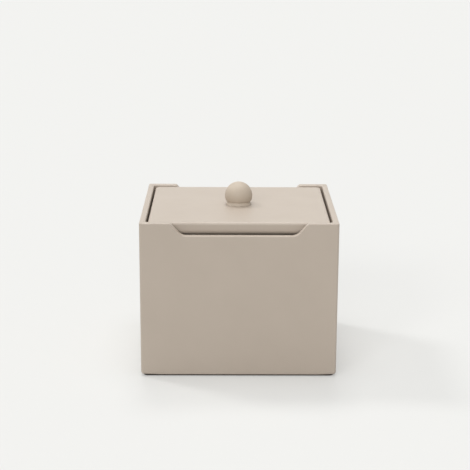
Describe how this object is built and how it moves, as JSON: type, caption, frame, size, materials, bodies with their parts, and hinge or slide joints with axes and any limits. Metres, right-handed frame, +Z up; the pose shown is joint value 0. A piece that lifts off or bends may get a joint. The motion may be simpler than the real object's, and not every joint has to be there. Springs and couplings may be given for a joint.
{
  "type": "cotton swab box",
  "caption": "Square-sided leather-wrapped vanity box with finger scoops in its front and rear rim, a suede lining, and a lift-off lid with a ball knob, for keeping cotton swabs.",
  "frame": {"origin": "on the surface the box stands on, under the middle of its footprint", "axes": "+X across the width to the right, +Y from front to rear, +Z up along the way the lid lifts"},
  "size_m": [0.12, 0.108, 0.1106],
  "materials": {
    "leather": "smooth matt taupe leather with a fine grain",
    "lacquer": "turned wood under satin taupe lacquer",
    "board": "bare fibre board",
    "card": "grey card",
    "suede": "soft napped dark suede cloth",
    "felt": "dense dark felt",
    "brass": "machined",
    "steel": "zinc-plated"
  },
  "bodies": {
    "box": {"front_board": "board", "rear_board": "board", "left_board": "board", "right_board": "board", "floor_board": "board", "body_wrap": "leather", "base_card": "card", "base_pad": "felt", "front_lining": "suede", "rear_lining": "suede", "left_lining": "suede", "right_lining": "suede", "floor_lining": "suede"},
    "lid": {"lid_board": "board", "lid_wrap": "leather", "lid_lining": "suede", "knob_collar": "lacquer", "knob_ball": "lacquer", "knob_insert": "brass", "knob_screw": "steel", "knob_washer": "steel"}
  },
  "joints": [
    {"name": "lid_lift", "type": "slide", "parent": "box", "child": "lid", "axis": [0, 0, 1], "range_m": [0, 0.09]}
  ]
}
